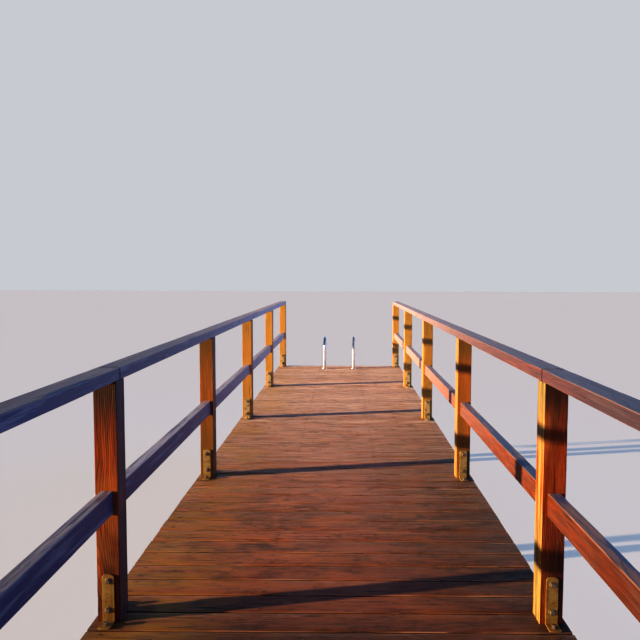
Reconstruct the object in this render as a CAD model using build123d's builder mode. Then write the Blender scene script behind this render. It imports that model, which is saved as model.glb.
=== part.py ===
from build123d import *
import os

os.makedirs("parts", exist_ok=True)

# A straight wooden jetty in equal railing bays, with a swim ladder at its lake end.
# Lengths are in millimetres: X runs across the walkway, Y along it towards the lake,
# and Z up from the pile feet. Parts are numbered from the shore end.

# Bays and walkway
bay_count = 6
bay_length = 2000.0
deck_width = 2050.0
deck_height = 1600.0
shore_overhang = 80.0
lake_overhang = 0.0

# Deck boards
board_width = 145.0
board_thickness = 40.0
board_gap = 9.0
board_arris = 3.0

# Railing posts
post_size = 100.0
post_inset = 22.0
post_arris = 4.0

# Top and middle rails, from the same timber
rail_width = 100.0
rail_thickness = 55.0
rail_arris = 5.0
rail_height = 1100.0
rail_end_overhang = 15.0
rail_joint_gap = 3.0
rail_bay_count = 2
middle_rail_height = 575.0

# Steel angles at the post feet
angle_width = 52.0
angle_height = 210.0
angle_foot = 66.0
angle_thickness = 6.0
angle_corner = 12.0

# Stringers and end beams under the boards
stringer_count = 4
stringer_width = 80.0
stringer_depth = 180.0
stringer_joint_gap = 4.0
end_beam_thickness = 60.0
end_beam_inset = 20.0

# Piles and the pairs of cap beams that clasp their heads
bent_count = 4
bent_inset = 420.0
pile_diameter = 180.0
pile_notch = 30.0
cap_width = 60.0
cap_depth = 160.0
cap_overhang = 20.0

# Swim ladder
ladder_width = 480.0
ladder_rise = 490.0
ladder_foot_inset = 308.0
leg_offset = 90.0
tube_diameter = 42.4
tube_wall = 2.0
tube_bend = 150.0
leg_end_length = 110.0
foot_plate_diameter = 84.0
foot_plate_thickness = 6.0
stay_diameter = 30.0
stay_plate_diameter = 80.0
tread_count = 4
tread_drop = 250.0
tread_spacing = 280.0
tread_depth = 80.0
tread_height = 30.0
tread_sheet = 3.0
tread_clearance = 0.3

# Levels
deck_top = deck_height
stringer_top = deck_top - board_thickness
cap_top = stringer_top - stringer_depth
cap_bottom = cap_top - cap_depth
post_top = deck_top + rail_height - rail_thickness
middle_rail_bottom = deck_top + middle_rail_height - rail_width

# Places along the jetty
tube_radius = tube_diameter / 2
railing_length = bay_count * bay_length
deck_length = shore_overhang + railing_length + post_size + lake_overhang
overall_length = deck_length + leg_offset + max(tube_radius, tread_depth / 2)
deck_start = -overall_length / 2
deck_end = deck_start + deck_length
first_row = deck_start + shore_overhang + post_size / 2
row_places = [first_row + row * bay_length for row in range(bay_count + 1)]
bent_pitch = (deck_length - 2 * bent_inset) / (bent_count - 1)
bent_places = [deck_start + bent_inset + bent * bent_pitch for bent in range(bent_count)]

# Places across the jetty
sides = {"left": -1, "right": 1}
post_place = deck_width / 2 - post_inset - post_size / 2
stringer_pitch = 2 * post_place / (stringer_count - 1)
stringer_places = [line * stringer_pitch - post_place for line in range(stringer_count)]
pile_place = post_place - stringer_pitch / 2


def finish(builder, name):
    """Labels a finished part and writes it under its own name."""
    builder.part.label = name
    export_step(builder.part, f"parts/{name}.step")


# Piles: round logs whose heads are notched on both faces for the cap beams
pile_tongue = pile_diameter - 2 * pile_notch

for side, sign in sides.items():
    for number, bent in enumerate(bent_places, start=1):
        with BuildPart() as pile:
            with BuildSketch():
                with Locations((sign * pile_place, bent)):
                    Circle(pile_diameter / 2)
            extrude(amount=cap_top)
            with BuildSketch(Plane.XY.offset(cap_bottom)):
                with Locations((sign * pile_place, bent)):
                    Rectangle(2 * pile_diameter, 2 * pile_diameter)
                    Rectangle(2 * pile_diameter, pile_tongue, mode=Mode.SUBTRACT)
            extrude(amount=cap_depth, mode=Mode.SUBTRACT)
        finish(pile, f"pile_{side}_{number}")

# Cap beams: one on each face of the pile heads
cap_length = 2 * post_place + stringer_width + 2 * cap_overhang
cap_offset = (pile_tongue + cap_width) / 2

for number, bent in enumerate(bent_places, start=1):
    with BuildPart() as cap_beams:
        with BuildSketch(Plane.XY.offset(cap_bottom)):
            with Locations((0, bent - cap_offset), (0, bent + cap_offset)):
                Rectangle(cap_length, cap_width)
        extrude(amount=cap_depth)
    finish(cap_beams, f"cap_beams_{number}")

# Stringers: lengths that meet over the inner pile rows and end at the end beams
shore_beam_back = deck_start + end_beam_inset + end_beam_thickness
lake_beam_back = deck_end - end_beam_inset - end_beam_thickness
stringer_joints = bent_places[1:-1]
stringer_starts = [shore_beam_back] + [joint + stringer_joint_gap / 2 for joint in stringer_joints]
stringer_ends = [joint - stringer_joint_gap / 2 for joint in stringer_joints] + [lake_beam_back]

for number, place in enumerate(stringer_places, start=1):
    with BuildPart() as stringer:
        with BuildSketch(Plane.XY.offset(cap_top)):
            for start, end in zip(stringer_starts, stringer_ends):
                with Locations((place, (start + end) / 2)):
                    Rectangle(stringer_width, end - start)
        extrude(amount=stringer_depth)
    finish(stringer, f"stringer_{number}")

# End beams: across the stringer ends, under the first and last boards
end_beam_length = 2 * post_place + stringer_width
end_beams = {
    "shore": shore_beam_back - end_beam_thickness / 2,
    "lake": lake_beam_back + end_beam_thickness / 2,
}

for end, place in end_beams.items():
    with BuildPart() as end_beam:
        with BuildSketch(Plane.XY.offset(cap_top)):
            with Locations((0, place)):
                Rectangle(end_beam_length, end_beam_thickness)
        extrude(amount=stringer_depth)
    finish(end_beam, f"end_beam_{end}")

# Deck boards: evenly spaced over the whole deck, kept in one part for each bay
board_count = round((deck_length + board_gap) / (board_width + board_gap))
board_pitch = (deck_length - board_width) / (board_count - 1)
board_places = [deck_start + board_width / 2 + board * board_pitch for board in range(board_count)]
bay_limits = [deck_start] + row_places[1:-1] + [deck_end]

for bay in range(bay_count):
    bay_boards = [place for place in board_places if bay_limits[bay] <= place < bay_limits[bay + 1]]
    with BuildPart() as deck_boards:
        with BuildSketch(Plane.XY.offset(stringer_top)):
            for place in bay_boards:
                with Locations((0, place)):
                    Rectangle(deck_width, board_width)
        extrude(amount=board_thickness)
        board_edges = deck_boards.edges().filter_by(Axis.X).group_by(Axis.Z)[-1]
        chamfer(board_edges, length=board_arris)
    finish(deck_boards, f"deck_boards_{bay + 1}")

# Railing posts: square timber standing on the boards
for side, sign in sides.items():
    for number, row in enumerate(row_places, start=1):
        with BuildPart() as post:
            with BuildSketch(Plane.XY.offset(deck_top)):
                with Locations((sign * post_place, row)):
                    Rectangle(post_size, post_size)
            extrude(amount=post_top - deck_top)
            chamfer(post.edges().filter_by(Axis.Z), length=post_arris)
        finish(post, f"post_{side}_{number}")

# Top rails: laid flat on the posts, butted over every second post
rail_joints = row_places[rail_bay_count:-1:rail_bay_count]
rail_start = row_places[0] - post_size / 2 - rail_end_overhang
rail_end = row_places[-1] + post_size / 2 + rail_end_overhang
rail_starts = [rail_start] + [joint + rail_joint_gap / 2 for joint in rail_joints]
rail_ends = [joint - rail_joint_gap / 2 for joint in rail_joints] + [rail_end]

for side, sign in sides.items():
    with BuildPart() as top_rail:
        with BuildSketch(Plane.XY.offset(post_top)):
            for start, end in zip(rail_starts, rail_ends):
                with Locations((sign * post_place, (start + end) / 2)):
                    Rectangle(rail_width, end - start)
        extrude(amount=rail_thickness)
        chamfer(top_rail.edges().filter_by(Axis.Y), length=rail_arris)
    finish(top_rail, f"top_rail_{side}")

# Middle rails: on edge, cut to fit between each two posts
middle_rail_length = bay_length - post_size

for side, sign in sides.items():
    with BuildPart() as middle_rails:
        with BuildSketch(Plane.XY.offset(middle_rail_bottom)):
            for row in row_places[:-1]:
                with Locations((sign * post_place, row + bay_length / 2)):
                    Rectangle(rail_thickness, middle_rail_length)
        extrude(amount=rail_width)
        chamfer(middle_rails.edges().filter_by(Axis.Y), length=rail_arris)
    finish(middle_rails, f"middle_rails_{side}")

# Steel angles: one on the shore face of each post, and one on the lake face where the deck
# leaves room for its foot
angle_faces = [(row - post_size / 2, -1) for row in row_places]
angle_faces += [(row + post_size / 2, 1) for row in row_places[:-1]]

for side, sign in sides.items():
    with BuildPart() as post_angles:
        with BuildSketch(Plane.YZ.offset(sign * post_place)):
            for face, direction in angle_faces:
                with Locations((face + direction * angle_thickness / 2, deck_top + angle_height / 2)):
                    Rectangle(angle_thickness, angle_height)
                with Locations((face + direction * angle_foot / 2, deck_top + angle_thickness / 2)):
                    Rectangle(angle_foot, angle_thickness)
        extrude(amount=angle_width / 2, both=True)
        upper_corners = post_angles.edges().filter_by(Axis.Y).group_by(Axis.Z)[-1]
        chamfer(upper_corners, length=angle_corner)
    finish(post_angles, f"post_angles_{side}")

# Swim ladder: two bent tubes that stand on the deck, loop over its end and hang down beside it
foot_place = deck_end - ladder_foot_inset
leg_place = deck_end + leg_offset
lake_beam_face = deck_end - end_beam_inset
foot_level = deck_top + foot_plate_thickness
top_level = deck_top + ladder_rise
bend_level = top_level - tube_bend
tread_levels = [deck_top - tread_drop - tread * tread_spacing for tread in range(tread_count)]
tube_bottom = tread_levels[-1] - leg_end_length
stay_level = stringer_top - stringer_depth / 2

for side, sign in sides.items():
    across = sign * ladder_width / 2
    with BuildPart() as ladder_stile:
        # Foot plate on the boards, and a stay with its plate on the end beam
        with BuildSketch(Plane.XY.offset(deck_top)):
            with Locations((across, foot_place)):
                Circle(foot_plate_diameter / 2)
        extrude(amount=foot_plate_thickness)
        with BuildSketch(Plane.XZ.offset(-lake_beam_face)):
            with Locations((across, stay_level)):
                Circle(stay_plate_diameter / 2)
        extrude(amount=-foot_plate_thickness)
        with BuildSketch(Plane.XZ.offset(-lake_beam_face)):
            with Locations((across, stay_level)):
                Circle(stay_diameter / 2)
        extrude(amount=lake_beam_face - leg_place)

        # Tube from the foot plate over the deck's end, and the bore of its leg up to the bend
        with BuildLine():
            FilletPolyline(
                (across, foot_place, foot_level),
                (across, foot_place, top_level),
                (across, leg_place, top_level),
                (across, leg_place, tube_bottom),
                radius=tube_bend,
            )
        with BuildSketch(Plane.XY.offset(foot_level)):
            with Locations((across, foot_place)):
                Circle(tube_radius)
        sweep()
        with BuildSketch(Plane.XY.offset(tube_bottom)):
            with Locations((across, leg_place)):
                Circle(tube_radius - tube_wall)
        extrude(amount=bend_level - tube_bottom, mode=Mode.SUBTRACT)
    finish(ladder_stile, f"ladder_stile_{side}")

# Ladder treads: folded channels, coped at both ends to lie against the tubes
with BuildPart() as ladder_treads:
    with BuildSketch(Plane.YZ):
        for level in tread_levels:
            with Locations((leg_place, level - tread_height / 2)):
                Rectangle(tread_depth, tread_height)
            with Locations((leg_place, level - tread_height / 2 - tread_sheet)):
                Rectangle(tread_depth - 2 * tread_sheet, tread_height, mode=Mode.SUBTRACT)
    extrude(amount=ladder_width / 2, both=True)
    with BuildSketch(Plane.XY.offset(tube_bottom)):
        with Locations((-ladder_width / 2, leg_place), (ladder_width / 2, leg_place)):
            Circle(tube_radius + tread_clearance)
    extrude(amount=tread_levels[0] - tube_bottom, mode=Mode.SUBTRACT)
finish(ladder_treads, "ladder_treads")
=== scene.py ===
import math
import random

import bmesh
import bpy
from mathutils import Matrix, Vector, noise


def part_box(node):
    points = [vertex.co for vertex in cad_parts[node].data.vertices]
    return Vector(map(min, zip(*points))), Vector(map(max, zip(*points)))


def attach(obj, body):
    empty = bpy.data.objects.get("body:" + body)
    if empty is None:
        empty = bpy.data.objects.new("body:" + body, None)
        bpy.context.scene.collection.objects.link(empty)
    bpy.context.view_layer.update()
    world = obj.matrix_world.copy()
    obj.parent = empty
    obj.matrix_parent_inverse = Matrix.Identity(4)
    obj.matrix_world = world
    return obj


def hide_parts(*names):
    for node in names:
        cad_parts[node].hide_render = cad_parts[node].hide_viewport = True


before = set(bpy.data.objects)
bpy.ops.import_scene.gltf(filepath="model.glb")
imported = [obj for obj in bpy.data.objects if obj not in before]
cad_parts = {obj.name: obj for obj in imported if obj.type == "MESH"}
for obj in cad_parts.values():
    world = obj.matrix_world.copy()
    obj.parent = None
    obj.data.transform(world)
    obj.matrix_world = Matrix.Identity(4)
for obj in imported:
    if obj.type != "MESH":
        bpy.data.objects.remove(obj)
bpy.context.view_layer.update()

# Lengths are in metres: X across the walkway, Y out along it, Z up from the pile feet
chance = random.Random(41)
nearly = 1e-5    # places closer than this count as one in a test
weldGap = 1e-6    # points closer than this are merged
print("frame loaded")


# Places and levels of the jetty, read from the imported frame
def middleOf(nodeName):
    low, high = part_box(nodeName)
    return (low + high) / 2


def countOf(stem):
    return sum(name.startswith(stem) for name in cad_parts)


sides = {"left": -1, "right": 1}
bayCount = countOf("deck_boards_")
rowCount = countOf("post_left_")
bentCount = countOf("pile_left_")
stringerCount = countOf("stringer_")
rowPlaces = [middleOf(f"post_left_{row + 1}").y for row in range(rowCount)]
bentPlaces = [middleOf(f"pile_left_{bent + 1}").y for bent in range(bentCount)]
stringerPlaces = [middleOf(f"stringer_{line + 1}").x for line in range(stringerCount)]
bayLength = rowPlaces[1] - rowPlaces[0]
postPlace = middleOf("post_right_1").x
pilePlace = middleOf("pile_right_1").x
postHalf = (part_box("post_right_1")[1].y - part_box("post_right_1")[0].y) / 2
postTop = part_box("post_right_1")[1].z
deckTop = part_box("deck_boards_1")[1].z


# One output of a shader node. Sums and products of it add the Math nodes that work them out.
class Value:
    def __init__(self, socket):
        self.socket = socket

    def __add__(self, other):
        return doMath("ADD", self, other)

    def __sub__(self, other):
        return doMath("SUBTRACT", self, other)

    def __rsub__(self, other):
        return doMath("SUBTRACT", other, self)

    def __mul__(self, other):
        return doMath("MULTIPLY", self, other)

    def __truediv__(self, other):
        return doMath("DIVIDE", self, other)


def addNode(kind, sockets, tree=None, **settings):
    # the tree is that of the first value that goes in, where none is given
    tree = tree or next(value.socket.id_data for value in sockets.values() if isinstance(value, Value))
    made = tree.nodes.new(kind)
    for name, setting in settings.items():
        setattr(made, name, setting)
    for name, value in sockets.items():
        if isinstance(value, Value):
            tree.links.new(value.socket, made.inputs[name])
        else:
            made.inputs[name].default_value = value
    return made


def readNode(kind, output, sockets, tree=None, **settings):
    return Value(addNode(kind, sockets, tree, **settings).outputs[output])


def doMath(operation, *values):
    return readNode("ShaderNodeMath", 0, dict(enumerate(values)), operation=operation)


def doVector(operation, *values):
    return readNode("ShaderNodeVectorMath", 0, dict(enumerate(values)), operation=operation)


def split(vector):
    return [Value(output) for output in addNode("ShaderNodeSeparateXYZ", {"Vector": vector}).outputs[:3]]


def fade(value, start, end):
    # 0 at start, 1 at end, smooth between them
    sockets = {"Value": value, "From Min": start, "From Max": end}
    return readNode("ShaderNodeMapRange", 0, sockets, interpolation_type="SMOOTHSTEP")


def opaque(colour):
    return (*colour, 1) if isinstance(colour, tuple) else colour


def mixColour(amount, first, second, way="MIX"):
    sockets = {0: amount, 6: opaque(first), 7: opaque(second)}
    return readNode("ShaderNodeMix", 2, sockets, data_type="RGBA", blend_type=way)


# The colour of a surface while a look's stains, and the light and shade painted with them, are laid over it,
# each by its own share or one given
class Coat:
    def __init__(self, colour, look):
        self.colour = colour
        self.look = look

    def mix(self, amount, other):
        self.colour = mixColour(amount, self.colour, other)

    def layOn(self, amount, name, share=None):
        self.mix(amount * (self.look[name + "Share"] if share is None else share), self.look[name])


def noiseAt(vector, scale, detail=2.0, roughness=0.5):
    sockets = {"Vector": vector, "Scale": scale, "Detail": detail, "Roughness": roughness}
    return readNode("ShaderNodeTexNoise", "Fac", sockets)


def stretchedNoise(vector, stretch, detail=2.0, roughness=0.5):
    return noiseAt(doVector("MULTIPLY", vector, stretch), 1.0, detail, roughness)


def feed(shader, name, value):
    value.socket.id_data.links.new(value.socket, shader.inputs[name])


def addBump(shader, height, strength, depth):
    sockets = {"Height": height, "Strength": strength, "Distance": depth}
    feed(shader, "Normal", readNode("ShaderNodeBump", "Normal", sockets))


def newMaterial(name):
    material = bpy.data.materials.new(name)
    material.use_nodes = True
    return material, material.node_tree, material.node_tree.nodes["Principled BSDF"]


# What the timbers share. A stretch says how often a pattern repeats along, across and through a timber.
woodLook = {
    "wanderStretch": (0.8, 3.5, 3.5), "rippleStretch": (8.0, 15.0, 15.0),
    "streakStretch": (2.6, 30.0, 30.0), "fibreStretch": (14.0, 420.0, 420.0),
    "hairStretch": (6.0, 105.0, 105.0), "crackStretch": (4.0, 120.0, 120.0), "patchScale": 3.2,
    "patchTone": 0.5, "pithSpread": 0.12, "knotShare": 0.85, "crackShare": 0.8,
    "luckShift": (31.0, 17.0, 23.0), "sheenRoughness": 0.3, "sheenTint": (1.0, 0.76, 0.58),
    "fibreRelief": 0.35, "bumpDepth": 0.0012, "oddShare": 0.6, "blotchShare": 0.5,
    "blotchStretch": (7.0, 13.0, 13.0), "knotScale": 4.6, "knotChance": 0.28, "knotSize": 0.085,
    "ringWidth": 0.009, "ringTone": 0.5, "ringRelief": 0.6, "pithDepth": 0.07, "ripple": 0.006,
    "toneSpread": 0.35, "roughness": 0.5, "shine": 0.3, "fuzz": 0.05, "bump": 0.8,
}


# Wood: growth rings round an offset pith, knots, fibre and drying cracks. "grain" holds a point's
# place along, across and through its own timber, and "luck" three numbers for each timber.
def woodMaterial(name, look, weatherAndLight):
    look = woodLook | look
    material, tree, shader = newMaterial(name)
    grain, luck = [readNode("ShaderNodeAttribute", "Vector", {}, tree, attribute_name=attribute)
                   for attribute in ("grain", "luck")]
    luckX, luckY, luckZ = split(luck)
    across, through = split(grain)[1:]
    here = doVector("ADD", grain, doVector("MULTIPLY", luck, look["luckShift"]))

    cells = addNode("ShaderNodeTexVoronoi", {"Vector": here, "Scale": look["knotScale"]})
    knotGap = Value(cells.outputs["Distance"])
    hasKnot = doMath("LESS_THAN", split(Value(cells.outputs["Color"]))[0], look["knotChance"])
    knot = fade(knotGap, look["knotSize"], look["knotSize"] * 0.72) * hasKnot
    swirl = fade(knotGap, look["knotSize"] * 3.4, 0.0) * hasKnot

    offAcross = across - (luckX * look["pithSpread"] - look["pithSpread"] / 2)
    offThrough = through - (luckY * -look["pithDepth"] - look["pithDepth"] * 0.15)
    radius = doMath("SQRT", offThrough * offThrough + offAcross * offAcross)
    radius = radius + stretchedNoise(here, look["wanderStretch"]) * look["wander"]
    radius = radius + stretchedNoise(here, look["rippleStretch"]) * look["ripple"] + swirl * look["swirl"]
    ring = doMath("FRACT", radius / look["ringWidth"])
    lateWood = fade(ring, 0.25, 0.85) * fade(ring, 1.0, 0.88)

    streaks = stretchedNoise(here, look["streakStretch"], 4.0, 0.6)
    fibre = stretchedNoise(here, look["fibreStretch"])
    hairs = stretchedNoise(here, look["hairStretch"], 3.0, 0.7)
    blotches = stretchedNoise(here, look["blotchStretch"], 6.0, 0.68)
    patches = noiseAt(here, look["patchScale"], 3.0)
    crackLimit = patches * -0.16 + (look["crackLimit"] + 0.08)
    crack = fade(stretchedNoise(here, look["crackStretch"], 1.0), crackLimit, crackLimit + 0.035)

    depth = (lateWood * look["ringTone"] + fade(streaks, 0.3, 0.72)) * (1.0 / (1.0 + look["ringTone"]))
    coat = Coat(mixColour(depth, look["pale"], look["deep"]), look)
    coat.layOn(luckZ, "odd")
    coat.layOn(fade(blotches, 0.49, 0.62), "blotch")
    lightness = luckY * look["toneSpread"] + (1.0 - (look["toneSpread"] + look["patchTone"]) / 2)
    lightness = lightness + patches * look["patchTone"]
    lightness = lightness + (fade(hairs, 0.34, 0.66) - 0.5) * look["hairShare"]
    grey = readNode("ShaderNodeCombineXYZ", 0, {axis: lightness for axis in range(3)})
    coat.colour = mixColour(1.0, coat.colour, grey, "MULTIPLY")
    coat.layOn(knot, "knot")

    parts = {"here": here, "streaks": streaks, "patches": patches, "across": across, "luck": luckZ}
    # the hook lays weathering and, for boards, rails and posts, painted light and shade
    weatherAndLight(tree, coat, look, parts)
    coat.layOn(crack, "crack")
    feed(shader, "Base Color", coat.colour)
    feed(shader, "Roughness", streaks * 0.22 + look["roughness"])
    shader.inputs["Specular IOR Level"].default_value = look["shine"]
    shader.inputs["Sheen Weight"].default_value = look["fuzz"]
    shader.inputs["Sheen Roughness"].default_value = look["sheenRoughness"]
    shader.inputs["Sheen Tint"].default_value = opaque(look["sheenTint"])
    height = lateWood * look["ringRelief"] + fibre * look["fibreRelief"] + crack * -1.4 + knot * 0.4
    addBump(shader, height, look["bump"], look["bumpDepth"])
    return material


def placeInPart(tree):
    return readNode("ShaderNodeTexCoord", "Object", {}, tree)


def facing(tree):
    return split(readNode("ShaderNodeTexCoord", "Normal", {}, tree))


# Distance from the nearest of the lines that lie one pitch apart, counted from the first
def offLine(value, first, pitch):
    return doMath("PINGPONG", value - first, pitch / 2)


def towardsLake(y):
    return fade(y, rowPlaces[2], rowPlaces[-2])


def towardsShore(y, reach):
    return fade(y, rowPlaces[2] + 0.45, rowPlaces[2] - reach)


def weatherAndLightBoards(tree, coat, look, parts):
    here = placeInPart(tree)
    x, y = split(here)[:2]
    up = facing(tree)[2]
    streaks = parts["streaks"]
    fromMiddle = doMath("ABSOLUTE", x)
    broad = noiseAt(here, 2.1, 4.0, 0.6)

    # warm patches and stains run across several boards, feet wear the middle pale, and the lake end is
    # painted paler, partly bleaching and partly painted light standing in for stronger sun there
    coat.layOn(fade(stretchedNoise(here, (3.2, 7.0, 1.0), 4.0, 0.6), 0.46, 0.62), "warm")
    coat.layOn(fade(fromMiddle, 0.9, 0.2) * fade(broad, 0.34, 0.64), "trodden")
    bleachedAndLit = towardsLake(y) * fade(streaks, 0.7, 0.44)
    coat.layOn(bleachedAndLit, "bleachedAndLit", parts["luck"] * 0.3 + look["bleachedAndLitShare"])
    stained = fade(stretchedNoise(here, (7.0, 12.0, 1.0), 6.0, 0.75), 0.54, 0.66)
    coat.layOn(stained, "blotch", look["stainShare"])

    # painted shade darkens the right side and the shore end, and green grows on the left
    shoreShade = towardsShore(y, look["dampAndShadeReach"]) * fade(y, rowPlaces[0] - 1.5, rowPlaces[1] + 1.0)
    dampAndShade = doMath("MAXIMUM", fade(x, -0.1, 0.9) * 0.8, shoreShade)
    dampAndShade = dampAndShade * (1.0 - towardsLake(y)) * fade(broad, 0.15, 0.45)
    coat.layOn(dampAndShade, "dampAndShade")
    coat.layOn(fade(x, -0.35, -0.92) * fade(broad, 0.36, 0.58) * fade(streaks, 0.34, 0.58), "algae")

    # edges are worn bare and painted pale as lit highlights, least at the lake end; painted shade darkens the
    # board sides in the gaps, and dirt lies round the post feet
    edge = fade(up, 0.99, 0.9) * fade(up, 0.3, 0.6) * fade(streaks, 0.28, 0.5)
    coat.layOn(edge * (towardsLake(y) * -0.75 + 1.0), "edge")
    coat.layOn(fade(up, 0.45, 0.1), "dirtAndShade")
    fromRow = offLine(y, rowPlaces[0], bayLength)
    fromPost = fromMiddle - postPlace
    footGap = doMath("SQRT", fromRow * fromRow + fromPost * fromPost)
    coat.layOn(fade(footGap, 0.2, 0.07) * fade(broad, 0.25, 0.6), "dirtAndShade", look["footDirtShare"])

    # the screws have stained the wood along its grain
    fromLine = offLine(x, stringerPlaces[0], stringerPlaces[1] - stringerPlaces[0])
    fromScrew = doMath("ABSOLUTE", doMath("ABSOLUTE", parts["across"]) - deckScrews["fromMiddle"])
    screwStain = fade(fromLine * 0.45 + fromScrew, 0.012, 0.004) * fade(up, 0.5, 0.9)
    coat.layOn(screwStain, "dirtAndShade", look["screwStainShare"])


def weatherAndLightRails(tree, coat, look, parts):
    x, y, z = split(placeInPart(tree))
    up = facing(tree)[2]
    steep = doMath("ABSOLUTE", up)
    streaks = parts["streaks"]
    handrail = fade(z, deckTop + 0.7, deckTop + 0.9)
    onLeft = fade(x, 0.2, -0.2)
    onTop = fade(up, 0.35, 0.85)

    # painted shade darkens the shore end, tops go grey with bare streaks and a painted blue sky reflection,
    # painted blue shade covers the left side and partly the handrail, patches fade, and the lake end is
    # painted paler, partly bleaching and partly painted light
    coat.layOn(towardsShore(y, look["dampAndShadeReach"]), "dampAndShade")
    bare = stretchedNoise(parts["here"], (2.4, 16.0, 16.0), 5.0, 0.65)
    bare = fade(handrail * -0.12 + bare, 0.44, 0.58)
    coat.mix(onTop * look["topShare"], mixColour(bare, look["greyAndSkyBlue"], look["bare"]))
    greyAndShade = fade(parts["patches"], 0.36, 0.66) * look["sideShare"]
    greyAndShade = greyAndShade + handrail * look["handrailShare"] + onLeft * look["leftShadeShare"]
    coat.mix(greyAndShade, look["fadedAndShade"])
    coat.layOn(towardsLake(y), "bleachedAndLit")

    # the left middle rail's top is silvered, the left side is scuffed, and edges are rubbed bare and painted
    # pale as lit highlights
    silvered = fade(y, rowPlaces[2] - 1.8, rowPlaces[2] + 0.8) * onLeft * fade(streaks, 0.32, 0.52)
    silvered = silvered * fade(z, deckTop + 0.9, deckTop + 0.7) * onTop
    coat.layOn(silvered, "silvered")
    coat.mix(fade(streaks, 0.5, 0.66) * (onLeft * look["scuffShare"] + 0.04), look["run"])
    coat.layOn(fade(steep, 0.99, 0.9) * fade(steep, 0.2, 0.36) * fade(streaks, 0.26, 0.5), "arris")

    # water runs down the faces and leaves pale and dark marks
    runs = stretchedNoise(parts["here"], (13.0, 0.0, 0.0), 0.0)
    onFace = fade(steep, 0.4, 0.1) * fade(streaks, 0.3, 0.5)
    coat.layOn(fade(runs, 0.27, 0.225) * onFace, "knot", look["darkRunShare"])
    coat.layOn(fade(runs, 0.765, 0.785) * onFace, "run")


def weatherAndLightPosts(tree, coat, look, parts):
    y, z = split(placeInPart(tree))[1:]
    aside, outwards = facing(tree)[:2]
    streaks = parts["streaks"]

    # splashes and painted shade darken the foot, patches fade, and painted shade darkens the top under the
    # handrail
    coat.layOn(fade(z, deckTop + 0.74, deckTop + 0.04) * fade(streaks, 0.2, 0.55), "dirtAndShade")
    coat.layOn(fade(parts["patches"], 0.5, 0.7), "fadedAndShade")
    coat.layOn(fade(streaks * 0.16 + z, postTop - 0.22, postTop + 0.04), "dirtAndShade", look["topShadeShare"])

    # the lake end is painted paler, partly bleaching and partly painted light; the faces turned to the key
    # light are painted a sunlit yellow, and the faces turned away are painted in shade
    coat.layOn(towardsLake(y) * (fade(outwards, 0.5, 0.9) * -0.8 + 1.0), "bleachedAndLit")
    yellow = mixColour(towardsLake(y), look["paintedSunlit"], look["paintedSunlitLake"])
    paintedSunlit = fade(aside, -0.5, -0.9) * fade(streaks, 0.7, 0.36)
    coat.mix(paintedSunlit * look["paintedSunlitShare"], yellow)
    coat.layOn(fade(aside, 0.5, 0.9), "shaded")


def weatherBeams(tree, coat, look, parts):
    coat.layOn(fade(parts["patches"], 0.42, 0.66), "dampAndShade")


def weatherPiles(tree, coat, look, parts):
    level = parts["streaks"] * 0.08 + split(placeInPart(tree))[2]
    water = look["waterLine"]
    coat.layOn(fade(level, water + 0.12, water - 0.1), "soaked")
    mark = fade(level, water + 0.03, water + 0.05) * fade(level, water + 0.11, water + 0.07)
    coat.layOn(mark, "tideMark")


# Some of these colours stand wholly or partly for painted light and shade, not the wood's own colour: the
# pale lake-end tones, the posts' sunlit yellow and shade colour, the rails' blue tops and sides, and the
# darks for the shore end, the gaps and the post tops
boardLook = {
    "pale": (0.5, 0.128, 0.04), "deep": (0.17, 0.042, 0.015), "odd": (0.29, 0.105, 0.026),
    "oddShare": 0.7, "blotch": (0.07, 0.028, 0.014), "blotchShare": 0.7,
    "blotchStretch": (12.0, 30.0, 30.0), "stainShare": 0.65, "knot": (0.04, 0.015, 0.009),
    "knotScale": 6.5, "knotChance": 0.34, "knotSize": 0.09, "swirl": 0.012, "ringWidth": 0.0075,
    "ringRelief": 0.5, "pithDepth": 0.09, "wander": 0.045, "crack": (0.03, 0.013, 0.009),
    "crackLimit": 0.655, "toneSpread": 0.65, "hairShare": 1.2, "warm": (0.7, 0.21, 0.05),
    "warmShare": 0.55, "trodden": (0.44, 0.13, 0.056), "troddenShare": 0.6, "bleachedAndLit": (0.8, 0.53, 0.38),
    "bleachedAndLitShare": 0.72, "algae": (0.5, 0.25, 0.03), "algaeShare": 0.75, "dampAndShade": (0.032, 0.019, 0.008),
    "dampAndShadeShare": 0.95, "dampAndShadeReach": 0.45, "edge": (0.66, 0.33, 0.17), "edgeShare": 0.65,
    "dirtAndShade": (0.03, 0.014, 0.01), "dirtAndShadeShare": 0.8, "footDirtShare": 0.6, "screwStainShare": 0.35,
    "shine": 0.38, "fuzz": 0.16, "bump": 0.9,
}
postLook = {
    "pale": (0.46, 0.078, 0.007), "deep": (0.21, 0.027, 0.003), "odd": (0.38, 0.07, 0.008),
    "blotch": (0.3, 0.085, 0.018), "blotchShare": 0.4, "blotchStretch": (9.0, 22.0, 22.0),
    "knot": (0.12, 0.03, 0.01), "knotChance": 0.3, "knotSize": 0.095, "swirl": 0.02, "ringWidth": 0.0054,
    "ringRelief": 0.5, "wander": 0.11, "ripple": 0.005, "crack": (0.04, 0.014, 0.008), "crackLimit": 0.71,
    "hairShare": 0.65, "dirtAndShade": (0.028, 0.011, 0.006), "dirtAndShadeShare": 0.9, "topShadeShare": 0.93,
    "fadedAndShade": (0.54, 0.21, 0.05), "fadedAndShadeShare": 0.35, "bleachedAndLit": (0.93, 0.5, 0.1), "bleachedAndLitShare": 0.8,
    "paintedSunlit": (0.43, 0.335, 0.105), "paintedSunlitLake": (0.56, 0.33, 0.15), "paintedSunlitShare": 0.9,
    "shaded": (0.07, 0.052, 0.048), "shadedShare": 0.72, "bump": 0.7,
}
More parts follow.
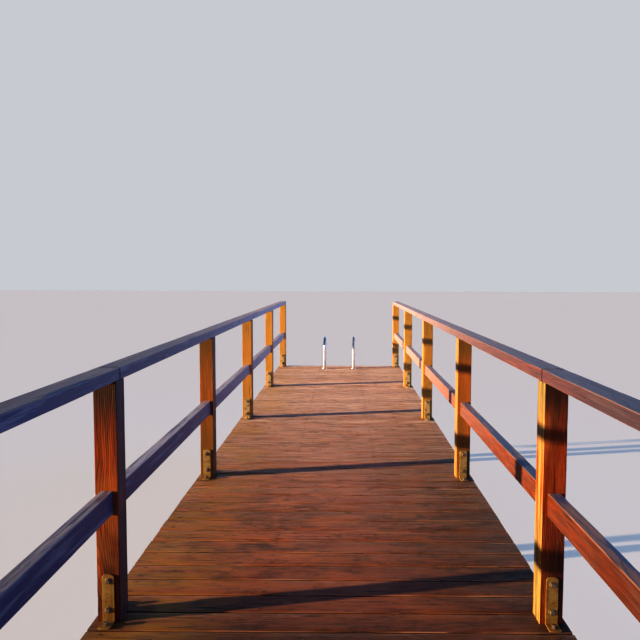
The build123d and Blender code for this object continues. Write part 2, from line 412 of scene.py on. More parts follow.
railLook = {
    "pale": (0.305, 0.056, 0.008), "deep": (0.062, 0.009, 0.002), "odd": (0.17, 0.05, 0.014),
    "blotch": (0.13, 0.045, 0.022), "blotchShare": 0.45, "blotchStretch": (9.0, 20.0, 20.0),
    "knot": (0.055, 0.02, 0.012), "knotScale": 4.2, "swirl": 0.016, "ringWidth": 0.0105, "ringTone": 2.0,
    "wander": 0.075, "ripple": 0.014, "crack": (0.045, 0.019, 0.013), "crackLimit": 0.7,
    "toneSpread": 0.4, "hairShare": 0.75, "greyAndSkyBlue": (0.03, 0.105, 0.235), "bare": (0.3, 0.185, 0.16),
    "topShare": 0.95, "fadedAndShade": (0.033, 0.057, 0.11), "sideShare": 0.05, "handrailShare": 0.42,
    "leftShadeShare": 0.8, "dampAndShade": (0.05, 0.012, 0.006), "dampAndShadeShare": 0.8, "dampAndShadeReach": 1.0,
    "bleachedAndLit": (0.5, 0.42, 0.46), "bleachedAndLitShare": 0.72, "silvered": (0.58, 0.54, 0.56),
    "silveredShare": 0.85, "run": (0.46, 0.42, 0.38), "runShare": 0.5, "darkRunShare": 0.6,
    "scuffShare": 0.2, "arris": (0.5, 0.29, 0.16), "arrisShare": 0.28, "roughness": 0.4, "shine": 0.55,
    "fuzz": 0.04,
}
beamLook = {
    "pale": (0.37, 0.205, 0.115), "deep": (0.19, 0.1, 0.056), "odd": (0.29, 0.18, 0.11),
    "blotch": (0.095, 0.05, 0.03), "knot": (0.045, 0.022, 0.014), "swirl": 0.014, "ringTone": 0.9,
    "pithDepth": 0.1, "wander": 0.065, "ripple": 0.008, "crack": (0.022, 0.013, 0.01), "crackLimit": 0.64,
    "hairShare": 0.5, "dampAndShade": (0.11, 0.064, 0.042), "dampAndShadeShare": 0.5, "roughness": 0.48, "shine": 0.45,
    "fuzz": 0.1,
}
pileLook = {
    "pale": (0.41, 0.285, 0.185), "deep": (0.2, 0.13, 0.082), "odd": (0.32, 0.25, 0.17), "oddShare": 0.5,
    "blotch": (0.095, 0.06, 0.038), "knot": (0.05, 0.028, 0.018), "knotScale": 4.2, "knotChance": 0.35,
    "knotSize": 0.11, "swirl": 0.01, "ringTone": 0.6, "ringRelief": 0.4, "pithSpread": 0.02,
    "pithDepth": 0.01, "wander": 0.06, "crack": (0.024, 0.015, 0.011), "crackLimit": 0.62,
    "toneSpread": 0.3, "hairShare": 0.4, "soaked": (0.1, 0.088, 0.056), "soakedShare": 0.8,
    "tideMark": (0.28, 0.24, 0.17), "tideMarkShare": 0.5, "waterLine": 0.95, "roughness": 0.62,
    "bump": 1.0,
}


# Steel: stained galvanised angles, dark bolts, and the ladder's satin stainless tube
def angleMaterial(name, look):
    material, tree, shader = newMaterial(name)
    here = placeInPart(tree)
    cloud = noiseAt(here, 24.0, 5.0, 0.65)
    speckle = noiseAt(here, 190.0, 3.0, 0.6)
    runs = stretchedNoise(here, (70.0, 70.0, 6.0), 3.0)
    stained = fade(cloud, 0.36, 0.66)
    rust = fade(speckle, 0.56, 0.66) * fade(cloud, 0.44, 0.6)
    # painted light: towards the lake end the steel is painted paler, partly chalky zinc and partly standing
    # in for stronger light there
    chalkyAndLit = towardsLake(split(here)[1]) * fade(cloud, 0.66, 0.46) * look["chalkAndLightShare"]
    coat = Coat(mixColour(stained, look["clean"], look["stained"]), look)
    coat.layOn(fade(runs, 0.5, 0.68), "run")
    coat.mix(rust, look["rust"])
    coat.mix(chalkyAndLit, look["chalkAndLight"])
    feed(shader, "Base Color", coat.colour)
    dull = doMath("MAXIMUM", doMath("MAXIMUM", stained, rust), chalkyAndLit)
    feed(shader, "Metallic", dull * (look["metal"] * -0.8) + look["metal"])
    feed(shader, "Roughness", stained * 0.25 + look["roughness"])
    addBump(shader, speckle + rust * 0.8, 0.35, 0.0006)
    return material


def ladderMaterial(name, look):
    material, tree, shader = newMaterial(name)
    here = placeInPart(tree)
    brushed = stretchedNoise(here, (900.0, 40.0, 40.0))
    film = noiseAt(here, 14.0, 4.0, 0.6)
    coat = Coat(mixColour(fade(film, 0.4, 0.7), look["clean"], look["filmed"]), look)
    coat.layOn(fade(noiseAt(here, 160.0), 0.64, 0.72), "spots")
    feed(shader, "Base Color", coat.colour)
    shader.inputs["Metallic"].default_value = 1.0
    feed(shader, "Roughness", film * 0.16 + brushed * 0.06 + look["roughness"])
    addBump(shader, brushed, 0.08, 0.0004)
    return material


angleLook = {
    "clean": (0.43, 0.29, 0.085), "stained": (0.25, 0.13, 0.026), "run": (0.13, 0.06, 0.015),
    "runShare": 0.55, "rust": (0.12, 0.048, 0.018), "chalkAndLight": (0.8, 0.66, 0.36), "chalkAndLightShare": 0.9,
    "metal": 0.6, "roughness": 0.42,
}
boltLook = {
    "clean": (0.36, 0.3, 0.22), "stained": (0.11, 0.064, 0.038), "run": (0.08, 0.04, 0.022),
    "runShare": 0.55, "rust": (0.075, 0.03, 0.016), "chalkAndLight": (0.2, 0.15, 0.1), "chalkAndLightShare": 0.0,
    "metal": 0.8, "roughness": 0.3,
}
ladderLook = {
    "clean": (0.78, 0.79, 0.8), "filmed": (0.62, 0.62, 0.6), "spots": (0.5, 0.48, 0.44),
    "spotsShare": 0.35, "roughness": 0.2,
}


# Helpers for the meshes
def addBlock(mesh, centre, size):
    bmesh.ops.create_cube(mesh, size=1.0, matrix=Matrix.Translation(centre) @ Matrix.Diagonal((*size, 1.0)))


def addRod(mesh, radius, length, segments, matrix):
    bmesh.ops.create_cone(mesh, cap_ends=True, segments=segments, radius1=radius, radius2=radius,
                          depth=length, matrix=matrix)


def bevelEdges(mesh, edges, offset, segments):
    bmesh.ops.bevel(mesh, geom=edges, offset=offset, offset_type="OFFSET", segments=segments, profile=0.5,
                    affect="EDGES", clamp_overlap=True, material=-1)


def edgesAlong(mesh, axis, test=lambda middle: True):
    found = []
    for edge in mesh.edges:
        first, last = edge.verts[0].co, edge.verts[1].co
        if abs((first - last).normalized()[axis]) > 0.99 and test((first + last) / 2):
            found.append(edge)
    return found


def cutAt(mesh, place, normal, clearOuter=False):
    everything = mesh.verts[:] + mesh.edges[:] + mesh.faces[:]
    bmesh.ops.bisect_plane(mesh, geom=everything, dist=weldGap, plane_co=place, plane_no=normal,
                           clear_outer=clearOuter)


def moveGrown(mesh, grown, step):
    corners = [item for item in grown if isinstance(item, bmesh.types.BMVert)]
    bmesh.ops.translate(mesh, verts=corners, vec=step)


# Stands a mesh that was made upright at the origin on a place, along an axis
def standOn(mesh, place, axis, spin=0.0):
    turned = Vector((0, 0, 1)).rotation_difference(Vector(axis)).to_matrix().to_4x4()
    matrix = Matrix.Translation(place) @ turned @ Matrix.Rotation(spin, 4, "Z")
    bmesh.ops.transform(mesh, matrix=matrix, verts=mesh.verts[:])


def addLayers(mesh):
    return [mesh.verts.layers.float_vector.new(name) for name in ("grain", "luck")]


def newPiece():
    piece = bmesh.new()
    addLayers(piece)
    return piece


def appendMesh(piece, mesh):
    carrier = bpy.data.meshes.new("carrier")
    mesh.to_mesh(carrier)
    mesh.free()
    piece.from_mesh(carrier)
    bpy.data.meshes.remove(carrier)


def addObject(name, data):
    thing = bpy.data.objects.new(name, data)
    bpy.context.scene.collection.objects.link(thing)
    return thing


def finishPiece(piece, name, material, replaced=(), sharpAngle=20):
    bmesh.ops.recalc_face_normals(piece, faces=piece.faces[:])
    data = bpy.data.meshes.new(name)
    piece.to_mesh(data)
    piece.free()
    data.shade_smooth()
    data.set_sharp_from_angle(angle=math.radians(sharpAngle))
    data.materials.append(material)
    thing = addObject(name, data)
    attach(thing, "root")
    if replaced:
        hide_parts(*replaced)


# Timbers: a block with eased long edges, cut along its length, worn a little inside its faces.
# Scales are in bumps for each metre, and dents run along the wood by the stretch.
timberWear = {"dentScale": 22, "nickScale": 31, "nickLimit": 0.28, "stretch": 0.25, "edgeShare": 0.86,
              "edgePower": 6}
timberShape = {"endSpread": 0.0, "bowAxis": 2, "bow": 0.0}


def timberMesh(low, high, along, shape):
    mesh = bmesh.new()
    size, centre = high - low, (low + high) / 2
    addBlock(mesh, centre, size)
    bevelEdges(mesh, edgesAlong(mesh, along), shape["arris"], 2)
    cuts = max(2, round(size[along] / shape["cutLength"]))
    bmesh.ops.subdivide_edges(mesh, edges=edgesAlong(mesh, along), cuts=cuts, use_grid_fill=True)
    for axis in range(3):
        if axis == along:
            continue
        normal = Vector([float(axis == place) for place in range(3)])
        strips = max(2, round(size[axis] / shape["stripWidth"]))
        for strip in range(1, strips):
            cutAt(mesh, centre + normal * size[axis] * (strip / strips - 0.5), normal)
    return mesh


def wearTimber(mesh, low, high, along, shape, luck):
    centre, half = (low + high) / 2, (high - low) / 2
    crossAxes = [axis for axis in range(3) if axis != along]
    grain, luckLayer = addLayers(mesh)
    seed = luck * 90
    shortening = [chance.uniform(0, shape["endSpread"]) for end in range(2)]
    for vertex in mesh.verts:
        local = vertex.co - centre
        vertex[grain] = (local[along], local[crossAxes[0]], local[crossAxes[1]])
        vertex[luckLayer] = luck
        stretched = vertex.co.copy()
        stretched[along] *= timberWear["stretch"]
        outer = [abs(local[axis]) / half[axis] for axis in crossAxes]
        onArris = min(outer) > timberWear["edgeShare"]
        for number, axis in enumerate(crossAxes):
            spot = stretched * timberWear["dentScale"] + seed + Vector((number * 7, 0, 0))
            dent = 0.5 + 0.5 * noise.noise(spot)
            sink = shape["wear"] * dent * outer[number] ** timberWear["edgePower"]
            if onArris:
                nick = noise.noise(vertex.co * timberWear["nickScale"] + seed * 2)
                sink += max(0.0, nick - timberWear["nickLimit"]) * shape["nicks"]
            vertex.co[axis] -= math.copysign(sink, local[axis])
        if abs(local[along]) > half[along] - nearly:
            vertex.co[along] -= math.copysign(shortening[local[along] > 0], local[along])
        bend = math.cos(math.pi * local[along] / half[along] / 2)
        vertex.co[shape["bowAxis"]] -= shape["bow"] * luck.x * bend


def addTimber(piece, low, high, along, shape):
    luck = Vector([chance.random() for number in range(3)])
    mesh = timberMesh(low, high, along, shape)
    wearTimber(mesh, low, high, along, shape, luck)
    appendMesh(piece, mesh)


# One timber of a box, between two places out along the jetty
def addLength(piece, low, high, start, end, along, shape):
    addTimber(piece, Vector((low.x, start, low.z)), Vector((high.x, end, high.z)), along, shape)


# Starts and ends of the lengths that meet at joints in a box
def jointedLengths(low, high, joints, gap):
    starts = [low.y] + [joint + gap / 2 for joint in joints]
    ends = [joint - gap / 2 for joint in joints] + [high.y]
    return zip(starts, ends)


# Deck screws come before the boards, because their stains are in the boards' wood
deckScrews = {"fromMiddle": 0.045, "headRadius": 0.0048, "headHeight": 0.0022, "proud": 0.0004,
              "recess": 0.0016}

boardWood = woodMaterial("boardWood", boardLook, weatherAndLightBoards)
postWood = woodMaterial("postWood", postLook, weatherAndLightPosts)
railWood = woodMaterial("railWood", railLook, weatherAndLightRails)
beamWood = woodMaterial("beamWood", beamLook, weatherBeams)
pileWood = woodMaterial("pileWood", pileLook, weatherPiles)
angleSteel = angleMaterial("angleSteel", angleLook)
boltSteel = angleMaterial("boltSteel", boltLook)
ladderSteel = ladderMaterial("ladderSteel", ladderLook)
print("materials made")


# Deck boards: one piece for each bay
deckBoards = {"width": 0.145, "gap": 0.009}
boardShape = timberShape | {"arris": 0.0035, "cutLength": 0.085, "stripWidth": 0.037, "wear": 0.001,
                            "nicks": 0.005, "endSpread": 0.004}
boardPlaces = []

for bay in range(bayCount):
    low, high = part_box(f"deck_boards_{bay + 1}")
    boardCount = round((high.y - low.y + deckBoards["gap"]) / (deckBoards["width"] + deckBoards["gap"]))
    pitch = (high.y - low.y - deckBoards["width"]) / (boardCount - 1)
    boards = newPiece()
    for board in range(boardCount):
        start = low.y + board * pitch
        boardPlaces.append(start + deckBoards["width"] / 2)
        addLength(boards, low, high, start, start + deckBoards["width"], 0, boardShape)
    finishPiece(boards, f"boards_bay_{bay + 1}", boardWood, [f"deck_boards_{bay + 1}"])
print("deck boards laid")


# Screws: a flat head with a driver recess, proud of its surface by a little or sunk just below it
def addScrew(piece, place, look):
    head = bmesh.new()
    turn = Matrix.Translation(place) @ Matrix.Rotation(chance.uniform(0, math.pi), 4, "Z")
    sunk = Matrix.Translation((0, 0, look["proud"] - look["headHeight"] / 2))
    bmesh.ops.create_cone(head, cap_ends=True, segments=10, radius1=look["headRadius"] * 0.7,
                          radius2=look["headRadius"], depth=look["headHeight"], matrix=turn @ sunk)
    top = max(head.faces, key=lambda face: face.calc_center_median().z)
    bmesh.ops.inset_region(head, faces=[top], thickness=look["headRadius"] * 0.5)
    bmesh.ops.translate(head, verts=top.verts, vec=(0, 0, -look["recess"]))
    appendMesh(piece, head)


screws = newPiece()
for place in boardPlaces:
    for line in stringerPlaces:
        for side in (-1, 1):
            across = place + side * deckScrews["fromMiddle"] + chance.uniform(-0.004, 0.004)
            addScrew(screws, Vector((line + chance.uniform(-0.006, 0.006), across, deckTop)), deckScrews)
finishPiece(screws, "deck_screws", boltSteel)
print("deck screwed down")


# Railing: posts, top rails that meet over every second post, and middle rails between the posts
postShape = timberShape | {"arris": 0.0032, "cutLength": 0.05, "stripWidth": 0.034, "wear": 0.0007,
                           "nicks": 0.0022}
topRailShape = timberShape | {"arris": 0.004, "cutLength": 0.06, "stripWidth": 0.034, "wear": 0.0009,
                              "nicks": 0.0035, "endSpread": 0.001}
middleRailShape = topRailShape | {"endSpread": 0.0, "bow": 0.003}
topRails = {"baysForEachLength": 2, "jointGap": 0.009, "screwFromMiddle": 0.024, "screwSpacing": 0.022,
            "worn": 0.0008}
railScrews = {"headRadius": 0.0055, "headHeight": 0.003, "proud": -0.0002, "recess": 0.0016}

for side in sides:
    for row in range(rowCount):
        post = newPiece()
        low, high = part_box(f"post_{side}_{row + 1}")
        addTimber(post, low, high, 2, postShape)
        place = f"{side}_{row + 1}"
        finishPiece(post, f"railing_post_{place}", postWood, [f"post_{place}"])

    rail = newPiece()
    low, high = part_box(f"top_rail_{side}")
    worn = high - Vector((0, 0, topRails["worn"]))
    joints = rowPlaces[topRails["baysForEachLength"]:-1:topRails["baysForEachLength"]]
    for start, end in jointedLengths(low, high, joints, topRails["jointGap"]):
        addLength(rail, low, worn, start, end, 1, topRailShape)
    finishPiece(rail, f"handrail_{side}", railWood, [f"top_rail_{side}"])

    rail = newPiece()
    low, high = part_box(f"middle_rails_{side}")
    for row in rowPlaces[:-1]:
        addLength(rail, low, high, row + postHalf, row + bayLength - postHalf, 1, middleRailShape)
    finishPiece(rail, f"knee_rails_{side}", railWood, [f"middle_rails_{side}"])

screws = newPiece()
for side, sign in sides.items():
    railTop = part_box(f"top_rail_{side}")[1].z
    for row in rowPlaces:
        for across in (-topRails["screwFromMiddle"], topRails["screwFromMiddle"]):
            for along in (-topRails["screwSpacing"], topRails["screwSpacing"]):
                addScrew(screws, Vector((sign * postPlace + across, row + along, railTop)), railScrews)
finishPiece(screws, "rail_screws", boltSteel)
print("railing built")


# Steel angles at the post feet, with their bolts
postAngle = {"thickness": 0.006, "corner": 0.016, "bend": 0.005, "footCorner": 0.006, "edge": 0.0008}
bolts = {"heights": (0.055, 0.18), "footShare": 0.6, "head": 0.019, "headHeight": 0.0115,
         "washer": 0.0135, "washerHeight": 0.0025}
washerEdge, washerSegments, headEdgeShare = 0.0006, 20, 0.2


def addAngle(piece, corner, direction, size, look):
    # made at the origin: X its width, Y out from the post, Z up from the deck
    width, foot, height = size
    thickness = look["thickness"]
    mesh = bmesh.new()
    addBlock(mesh, (0, thickness / 2, height / 2), (width, thickness, height))
    cutAt(mesh, (0, 0, thickness), (0, 0, 1))
    front = [face for face in mesh.faces if face.normal.y > 0.9 and face.calc_center_median().z < thickness]
    grown = bmesh.ops.extrude_face_region(mesh, geom=front)["geom"]
    moveGrown(mesh, grown, (0, foot - thickness, 0))
    bevelEdges(mesh, edgesAlong(mesh, 1, lambda at: at.z > height - nearly), look["corner"], 5)
    bevelEdges(mesh, edgesAlong(mesh, 2, lambda at: at.y > foot - nearly), look["footCorner"], 3)
    for bend in (thickness, 0.0):
        inBend = edgesAlong(mesh, 0, lambda at: abs(at.y - bend) < nearly and abs(at.z - bend) < nearly)
        bevelEdges(mesh, inBend, look["bend"], 3)
    sharp = [edge for edge in mesh.edges if edge.calc_face_angle(0.0) > math.radians(50)]
    bevelEdges(mesh, sharp, look["edge"], 1)
    turned = Matrix.Translation(corner) @ Matrix.Rotation(0.0 if direction > 0 else math.pi, 4, "Z")
    bmesh.ops.transform(mesh, matrix=turned, verts=mesh.verts[:])
    appendMesh(piece, mesh)


# A round or six-sided disc with an eased top, from a level above the place where it stands
def addDisc(piece, place, axis, radius, level, height, segments, edge, rounds=2, spin=0.0):
    mesh = bmesh.new()
    top = level + height
    addRod(mesh, radius, height, segments, Matrix.Translation((0, 0, level + height / 2)))
    rim = [item for item in mesh.edges if all(vertex.co.z > top - nearly for vertex in item.verts)]
    bevelEdges(mesh, rim, edge, rounds)
    standOn(mesh, place, axis, spin)
    appendMesh(piece, mesh)


def addBolt(piece, place, axis, look):
    washerTop, headHeight = look["washerHeight"], look["headHeight"]
    addDisc(piece, place, axis, look["washer"], 0.0, washerTop, washerSegments, washerEdge, 1)
    radius = look["head"] / 2 / math.cos(math.pi / 6)
    spin = chance.uniform(0, math.pi / 3)
    addDisc(piece, place, axis, radius, washerTop, headHeight, 6, headHeight * headEdgeShare, 2, spin)


for side, sign in sides.items():
    angles, angleBolts = newPiece(), newPiece()
    low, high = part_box(f"post_angles_{side}")
    foot = rowPlaces[0] - postHalf - low.y
    size = (high.x - low.x, foot, high.z - deckTop)
    faces = [(row - postHalf, -1) for row in rowPlaces] + [(row + postHalf, 1) for row in rowPlaces[:-1]]
    for face, direction in faces:
        corner = Vector((sign * postPlace, face, deckTop))
        addAngle(angles, corner, direction, size, postAngle)
        plate = corner + Vector((0, direction * postAngle["thickness"], 0))
        for height in bolts["heights"]:
            drift = Vector((chance.uniform(-0.002, 0.002), 0, height + chance.uniform(-0.003, 0.003)))
            addBolt(angleBolts, plate + drift, (0, direction, 0), bolts)
        footBolt = corner + Vector((0, direction * foot * bolts["footShare"], postAngle["thickness"]))
        addBolt(angleBolts, footBolt, (0, 0, 1), bolts)
    finishPiece(angles, f"angle_plates_{side}", angleSteel, [f"post_angles_{side}"])
    finishPiece(angleBolts, f"angle_bolts_{side}", boltSteel)
print("post angles bolted on")


# Beams under the deck
beamShape = timberShape | {"arris": 0.003, "cutLength": 0.1, "stripWidth": 0.06, "wear": 0.0015,
                           "nicks": 0.006}
stringers = {"jointGap": 0.004}
endBeams = {"boltShares": (0.28, 0.72)}
capBeams = {"width": 0.06, "boltSpread": 0.032, "boltRise": 0.075, "boltLow": 0.042}
beamBolts = {"head": 0.024, "headHeight": 0.012, "washer": 0.026, "washerHeight": 0.003}

for line in range(stringerCount):
    beam = newPiece()
    low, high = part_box(f"stringer_{line + 1}")
    for start, end in jointedLengths(low, high, bentPlaces[1:-1], stringers["jointGap"]):
        addLength(beam, low, high, start, end, 1, beamShape)
    finishPiece(beam, f"joist_line_{line + 1}", beamWood, [f"stringer_{line + 1}"])

endBolts = newPiece()
for end, outwards in {"shore": -1, "lake": 1}.items():
    beam = newPiece()
    low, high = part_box(f"end_beam_{end}")
    addTimber(beam, low, high, 0, beamShape)
    finishPiece(beam, f"headstock_{end}", beamWood, [f"end_beam_{end}"])
    face = high.y if outwards > 0 else low.y
    for line in stringerPlaces:
        for share in endBeams["boltShares"]:
            place = Vector((line, face, low.z + (high.z - low.z) * share))
            addBolt(endBolts, place, (0, outwards, 0), beamBolts)
finishPiece(endBolts, "headstock_bolts", boltSteel)

capBolts = newPiece()
for bent in range(bentCount):
    caps = newPiece()
    low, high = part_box(f"cap_beams_{bent + 1}")
    for start in (low.y, high.y - capBeams["width"]):
        addLength(caps, low, high, start, start + capBeams["width"], 0, beamShape)
    finishPiece(caps, f"caps_{bent + 1}", beamWood, [f"cap_beams_{bent + 1}"])
    for sign in sides.values():
        for step in (-1, 1):
            across = sign * pilePlace + step * capBeams["boltSpread"]
            level = low.z + capBeams["boltLow"] + (step > 0) * capBeams["boltRise"]
            for face, outwards in ((low.y, -1), (high.y, 1)):
                addBolt(capBolts, Vector((across, face, level)), (0, outwards, 0), beamBolts)
finishPiece(capBolts, "cap_bolts", boltSteel)
print("beams set")


# Piles: round logs whose heads are cut back to a tongue between the cap beams
pile = {"segments": 40, "cutLength": 0.045, "dents": 0.0035, "furrows": 0.0025, "dentScale": (6, 6, 2.2),
        "furrowScale": (45, 45, 3.0), "tongue": 0.12, "sharpAngle": 38}


def logMesh(low, high, bottom, top):
    mesh = bmesh.new()
    centre = (low + high) / 2
    place = Matrix.Translation((centre.x, centre.y, (top + bottom) / 2))
    addRod(mesh, (high.x - low.x) / 2, top - bottom, pile["segments"], place)
    cuts = max(2, round((top - bottom) / pile["cutLength"]))
    bmesh.ops.subdivide_edges(mesh, edges=edgesAlong(mesh, 2), cuts=cuts, use_grid_fill=True)
    return mesh, centre


def roughenLog(mesh, centre, luck):
    grain, luckLayer = addLayers(mesh)
    for vertex in mesh.verts:
        place = vertex.co
        out = Vector((place.x - centre.x, place.y - centre.y, 0))
        vertex[grain] = (place.z, out.x, out.y)
        vertex[luckLayer] = luck
        slow = noise.noise(place * Vector(pile["dentScale"]) + luck * 50)
        fine = noise.noise(place * Vector(pile["furrowScale"]) + luck * 80)
        sink = pile["dents"] * (0.5 + 0.5 * slow) + pile["furrows"] * (0.5 + 0.5 * fine)
        if out.length > nearly:
            vertex.co -= out.normalized() * sink


for side in sides:
    for bent in range(bentCount):
        low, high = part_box(f"pile_{side}_{bent + 1}")
        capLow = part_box(f"cap_beams_{bent + 1}")[0].z
        luck = Vector([chance.random() for number in range(3)])
        logPiece = newPiece()
        shaft, centre = logMesh(low, high, low.z, capLow)
        roughenLog(shaft, centre, luck)
        appendMesh(logPiece, shaft)
        tongue, centre = logMesh(low, high, capLow, high.z)
        roughenLog(tongue, centre, luck)
        for direction in (-1, 1):
            flat = centre + Vector((0, direction * pile["tongue"] / 2, 0))
            cutAt(tongue, flat, (0, direction, 0), clearOuter=True)
            bmesh.ops.contextual_create(tongue, geom=[edge for edge in tongue.edges if edge.is_boundary])
        appendMesh(logPiece, tongue)
        finishPiece(logPiece, f"log_{side}_{bent + 1}", pileWood, [f"pile_{side}_{bent + 1}"],
                    pile["sharpAngle"])
print("piles driven")


# Swim ladder: bent tubes with foot plates, stays and weld beads. The CAD treads stay, and get ribs.
ladder = {"tube": 0.0212, "wall": 0.002, "bend": 0.15, "stay": 0.015, "plateThickness": 0.006,
          "stayPlate": 0.04, "plateEdge": 0.0012, "plateSegments": 48, "bore": 0.3, "tubeSegments": 32,
          "bendSteps": 18, "staySegments": 28, "bead": 0.0028, "beadSteps": 44, "beadRipples": 22,
          "beadRipple": 0.012, "ribCount": 5, "ribHeight": 0.0016, "ribWidth": 0.004, "ribInset": 0.015,
          "ribEdge": 0.0012, "sharpAngle": 38}
plateScrews = {"headRadius": 0.005, "headHeight": 0.0022, "proud": 0.001, "recess": 0.0014}
stayBolts = {"fromMiddle": 0.0285, "head": 0.008, "headHeight": 0.003, "washer": 0.006,
             "washerHeight": 0.001}
treadLow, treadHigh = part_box("ladder_treads")
legPlace = (treadLow.y + treadHigh.y) / 2


def onlyEdges(items):
    return [item for item in items if isinstance(item, bmesh.types.BMEdge)]


def runTube(mesh, ring, step):
    grown = bmesh.ops.extrude_edge_only(mesh, edges=ring)["geom"]
    moveGrown(mesh, grown, step)
    return onlyEdges(grown)


def bendTube(mesh, ring, centre):
    turned = bmesh.ops.spin(mesh, geom=ring, cent=centre, axis=(-1, 0, 0), angle=math.pi / 2,
                            steps=ladder["bendSteps"], use_merge=False)["geom_last"]
    return onlyEdges(turned)


def addBead(piece, place, axis, radius):
    mesh = bmesh.new()
    upright = Matrix.Translation((radius, 0, 0)) @ Matrix.Rotation(math.pi / 2, 4, "X")
    bmesh.ops.create_circle(mesh, segments=8, radius=ladder["bead"], matrix=upright)
    bmesh.ops.spin(mesh, geom=mesh.verts[:] + mesh.edges[:], cent=(0, 0, 0), axis=(0, 0, 1), angle=math.tau,
                   steps=ladder["beadSteps"], use_merge=True)
    bmesh.ops.remove_doubles(mesh, verts=mesh.verts[:], dist=weldGap)
    for vertex in mesh.verts:
        turn = math.atan2(vertex.co.y, vertex.co.x)
        ripple = 1.0 + ladder["beadRipple"] * math.sin(ladder["beadRipples"] * turn)
        vertex.co.x *= ripple
        vertex.co.y *= ripple
    bmesh.ops.recalc_face_normals(mesh, faces=mesh.faces[:])
    standOn(mesh, place, axis)
    appendMesh(piece, mesh)


def addPlate(piece, place, axis, radius):
    addDisc(piece, place, axis, radius, 0.0, ladder["plateThickness"], ladder["plateSegments"],
            ladder["plateEdge"])


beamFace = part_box("end_beam_lake")[1].y
stayLevel = middleOf("end_beam_lake").z
tubeRadius, bendRadius, plateThickness = ladder["tube"], ladder["bend"], ladder["plateThickness"]

for side in sides:
    low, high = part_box(f"ladder_stile_{side}")
    across = (low.x + high.x) / 2
    plateRadius = (high.x - low.x) / 2
    footPlace, topLevel = low.y + plateRadius, high.z - tubeRadius
    bendLevel = topLevel - bendRadius
    foot = Vector((across, footPlace, deckTop + plateThickness))
    stayFoot = Vector((across, beamFace + plateThickness, stayLevel))
    stile = newPiece()

    tube = bmesh.new()
    bmesh.ops.create_circle(tube, segments=ladder["tubeSegments"], radius=tubeRadius,
                            matrix=Matrix.Translation(foot))
    ring = runTube(tube, tube.edges[:], (0, 0, bendLevel - foot.z))
    ring = bendTube(tube, ring, (across, footPlace + bendRadius, bendLevel))
    ring = runTube(tube, ring, (0, legPlace - footPlace - 2 * bendRadius, 0))
    ring = bendTube(tube, ring, (across, legPlace - bendRadius, bendLevel))
    ring = runTube(tube, ring, (0, 0, low.z - bendLevel))
    bmesh.ops.remove_doubles(tube, verts=tube.verts[:], dist=weldGap)
    bmesh.ops.holes_fill(tube, edges=[edge for edge in tube.edges if edge.is_boundary], sides=0)
    bmesh.ops.recalc_face_normals(tube, faces=tube.faces[:])
    openEnd = min(tube.faces, key=lambda face: face.calc_center_median().z)
    bmesh.ops.inset_region(tube, faces=[openEnd], thickness=ladder["wall"])
    grown = bmesh.ops.extrude_face_region(tube, geom=[openEnd])["geom"]
    moveGrown(tube, grown, (0, 0, ladder["bore"]))
    appendMesh(stile, tube)

    stay = bmesh.new()
    reach = legPlace - beamFace - tubeRadius * 0.6
    middle = Matrix.Translation((across, beamFace + reach / 2, stayLevel))
    addRod(stay, ladder["stay"], reach, ladder["staySegments"], middle @ Matrix.Rotation(math.pi / 2, 4, "X"))
    appendMesh(stile, stay)
    addPlate(stile, Vector((across, footPlace, deckTop)), (0, 0, 1), plateRadius)
    addPlate(stile, Vector((across, beamFace, stayLevel)), (0, 1, 0), ladder["stayPlate"])
    addBead(stile, foot, (0, 0, 1), tubeRadius)
    addBead(stile, stayFoot, (0, 1, 0), ladder["stay"])
    addBead(stile, Vector((across, legPlace - tubeRadius * 0.93, stayLevel)), (0, 1, 0), ladder["stay"])
    finishPiece(stile, f"stile_{side}", ladderSteel, [f"ladder_stile_{side}"],
                ladder["sharpAngle"])

    fixings = newPiece()
    for quarter in range(4):
        turn = math.pi / 4 + quarter * math.pi / 2
        out = Vector((math.cos(turn), math.sin(turn), 0))
        addScrew(fixings, foot + out * (tubeRadius + ladder["bead"] + plateRadius) / 2, plateScrews)
        place = stayFoot + Vector((out.x, 0, out.y)) * stayBolts["fromMiddle"]
        addBolt(fixings, place, (0, 1, 0), stayBolts)
    finishPiece(fixings, f"stile_screws_{side}", ladderSteel)

ribs = newPiece()
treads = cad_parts["ladder_treads"]
ribLength = 2 * (middleOf("ladder_stile_right").x - tubeRadius - ladder["ribInset"])
ribPitch = (treadHigh.y - treadLow.y) / (ladder["ribCount"] + 1)
# each tread has points at three levels, and its top is the highest of them
treadLevels = sorted({round(vertex.co.z, 4) for vertex in treads.data.vertices})[-1::-3]
for level in treadLevels:
    for number in range(ladder["ribCount"]):
        rib = bmesh.new()
        addBlock(rib, (0, treadLow.y + ribPitch * (number + 1), level),
                 (ribLength, ladder["ribWidth"], 2 * ladder["ribHeight"]))
        bevelEdges(rib, edgesAlong(rib, 0, lambda at: at.z > level), ladder["ribEdge"], 2)
        appendMesh(ribs, rib)
finishPiece(ribs, "tread_ribs", ladderSteel)
treads.data.materials.clear()
treads.data.materials.append(ladderSteel)
print("ladder fitted")


# Floor, sky, light and camera
floorLook = {"colour": (0.8, 0.8, 0.79), "glow": (0.63, 0.7, 0.69), "glowStrength": 0.22, "size": 300.0}
skyLook = {"sky": (0.034, 0.062, 0.13), "lakeBand": (0.64, 0.87, 1.24), "backdrop": (0.44, 0.455, 0.48)}


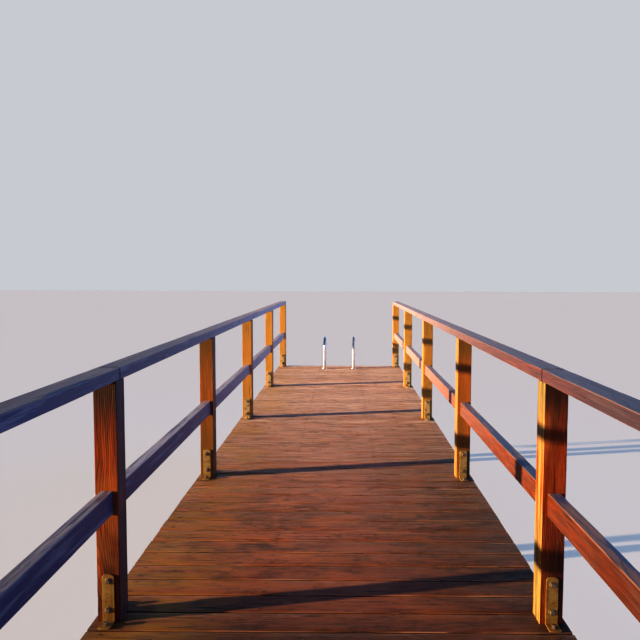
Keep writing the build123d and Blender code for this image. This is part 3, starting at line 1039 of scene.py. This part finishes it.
def makeFloor(look):
    material, tree, shader = newMaterial("paleFloor")
    shader.inputs["Base Color"].default_value = opaque(look["colour"])
    shader.inputs["Roughness"].default_value = 0.9
    shader.inputs["Specular IOR Level"].default_value = 0.0
    shader.inputs["Emission Color"].default_value = opaque(look["glow"])
    shader.inputs["Emission Strength"].default_value = look["glowStrength"]
    mesh = bmesh.new()
    bmesh.ops.create_grid(mesh, x_segments=1, y_segments=1, size=look["size"] / 2)
    data = bpy.data.meshes.new("studioFloor")
    mesh.to_mesh(data)
    mesh.free()
    data.materials.append(material)
    floor = addObject("studioFloor", data)
    floor.visible_diffuse = False    # the floor throws no warm light back up onto the timber
    floor.visible_shadow = False


def makeSky(look):
    # only the camera sees the backdrop; the timber sees a dark sky with a bright low band over the lake
    world = bpy.data.worlds.new("studioSky")
    world.use_nodes = True
    tree = world.node_tree
    out, up = split(readNode("ShaderNodeTexCoord", "Object", {}, tree))[1:]
    band = fade(out, 0.72, 0.96) * fade(up, 0.45, 0.1)
    colour = mixColour(band, look["sky"], look["lakeBand"])
    seen = readNode("ShaderNodeLightPath", "Is Camera Ray", {}, tree)
    feed(tree.nodes["Background"], "Color", mixColour(seen, colour, look["backdrop"]))
    bpy.context.scene.world = world


def addLight(name, kind, place, settings):
    light = bpy.data.lights.new(name, kind)
    for setting, value in settings.items():
        setattr(light, setting, value)
    lamp = addObject(name, light)
    lamp.location = place
    lamp.rotation_euler = (Vector() - Vector(place)).to_track_quat("-Z", "Y").to_euler()
    lamp.visible_camera = False


# Each light looks at the origin from its place
warmKey = {"energy": 7.6, "angle": math.radians(1.1), "color": (1.0, 0.68, 0.38)}
frontFill = {"energy": 0.12, "angle": math.radians(50), "color": (1.0, 0.7, 0.42)}
coolFill = {"energy": 1.45, "angle": math.radians(60), "color": (0.16, 0.37, 1.0)}
topFill = {"energy": 50.0, "shape": "RECTANGLE", "size": 10.0, "size_y": 16.0, "color": (0.22, 0.5, 1.0)}
keyWay = {"turn": math.radians(12), "rise": math.radians(7.3)}

makeFloor(floorLook)
makeSky(skyLook)
keyFrom = Vector((-math.cos(keyWay["turn"]), -math.sin(keyWay["turn"]), math.tan(keyWay["rise"]))) * 10
addLight("warmKey", "SUN", keyFrom, warmKey)
addLight("frontFill", "SUN", (-3, -10, 2.6), frontFill)
addLight("coolFill", "SUN", (10, -0.6, 1.2), coolFill)
addLight("topFill", "AREA", (0, 0, 9), topFill)

# The camera stands over the deck between the first two rows of posts, a little below eye height
photoView = {"row": 3, "across": 0.0499, "behindRow": 2.6486, "aboveDeck": 1.4819, "turnLeft": 0.0067,
             "tiltDown": 0.0651, "roll": 0.0031, "lens": 35.72, "shiftX": -18 / 640}


def placeCamera(look):
    data = bpy.data.cameras.new("photoCamera")
    data.sensor_fit = "HORIZONTAL"
    data.sensor_width = 36.0
    data.lens = look["lens"]
    data.shift_x = look["shiftX"]
    data.clip_end = 500.0
    camera = addObject("photoCamera", data)
    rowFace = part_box(f"post_left_{look['row']}")[0].y
    place = Vector((look["across"], rowFace - look["behindRow"], deckTop + look["aboveDeck"]))
    tilt = Matrix.Rotation(math.pi / 2 - look["tiltDown"], 4, "X")
    turn = Matrix.Rotation(look["turnLeft"], 4, "Z") @ tilt
    camera.matrix_world = Matrix.Translation(place) @ turn @ Matrix.Rotation(look["roll"], 4, "Z")
    bpy.context.scene.camera = camera


placeCamera(photoView)
bpy.context.scene.view_settings.view_transform = "Standard"
bpy.context.scene.view_settings.look = "High Contrast"
print("stage set")
